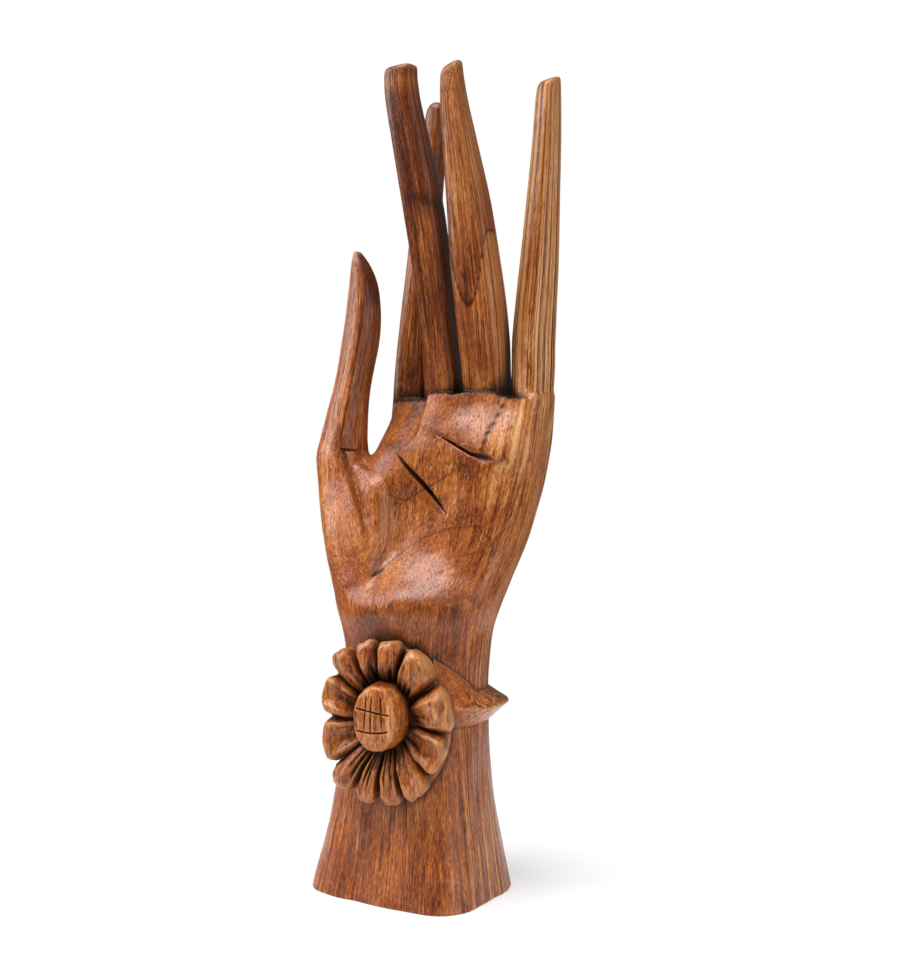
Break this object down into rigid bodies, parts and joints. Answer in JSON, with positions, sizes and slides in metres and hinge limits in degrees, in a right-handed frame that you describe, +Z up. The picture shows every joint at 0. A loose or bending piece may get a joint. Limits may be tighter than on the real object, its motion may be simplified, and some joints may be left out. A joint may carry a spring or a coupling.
{
  "type": "hand ring holder",
  "caption": "Carved wooden hand standing upright on its wrist, with spread fingers that hold rings, a ridged bracelet and a carved flower on the wrist",
  "frame": {"origin": "centre of the oval foot, on the table", "axes": "+Z up along the forearm and fingers, the palm looks along -Y, the thumb is at -X and the little finger at +X"},
  "size_m": [0.0876, 0.0708, 0.3],
  "materials": {
    "stained_wood": "brown stained and waxed, satin"
  },
  "bodies": {
    "root": {"wrist_base": "stained_wood", "palm": "stained_wood", "thumb": "stained_wood", "index_finger": "stained_wood", "middle_finger": "stained_wood", "ring_finger": "stained_wood", "little_finger": "stained_wood", "bracelet_band": "stained_wood", "flower_backing": "stained_wood", "flower_centre": "stained_wood", "flower_petal_01": "stained_wood", "flower_petal_02": "stained_wood", "flower_petal_03": "stained_wood", "flower_petal_04": "stained_wood", "flower_petal_05": "stained_wood", "flower_petal_06": "stained_wood", "flower_petal_07": "stained_wood", "flower_petal_08": "stained_wood", "flower_petal_09": "stained_wood", "flower_petal_10": "stained_wood", "flower_petal_11": "stained_wood", "flower_petal_12": "stained_wood"}
  },
  "joints": []
}
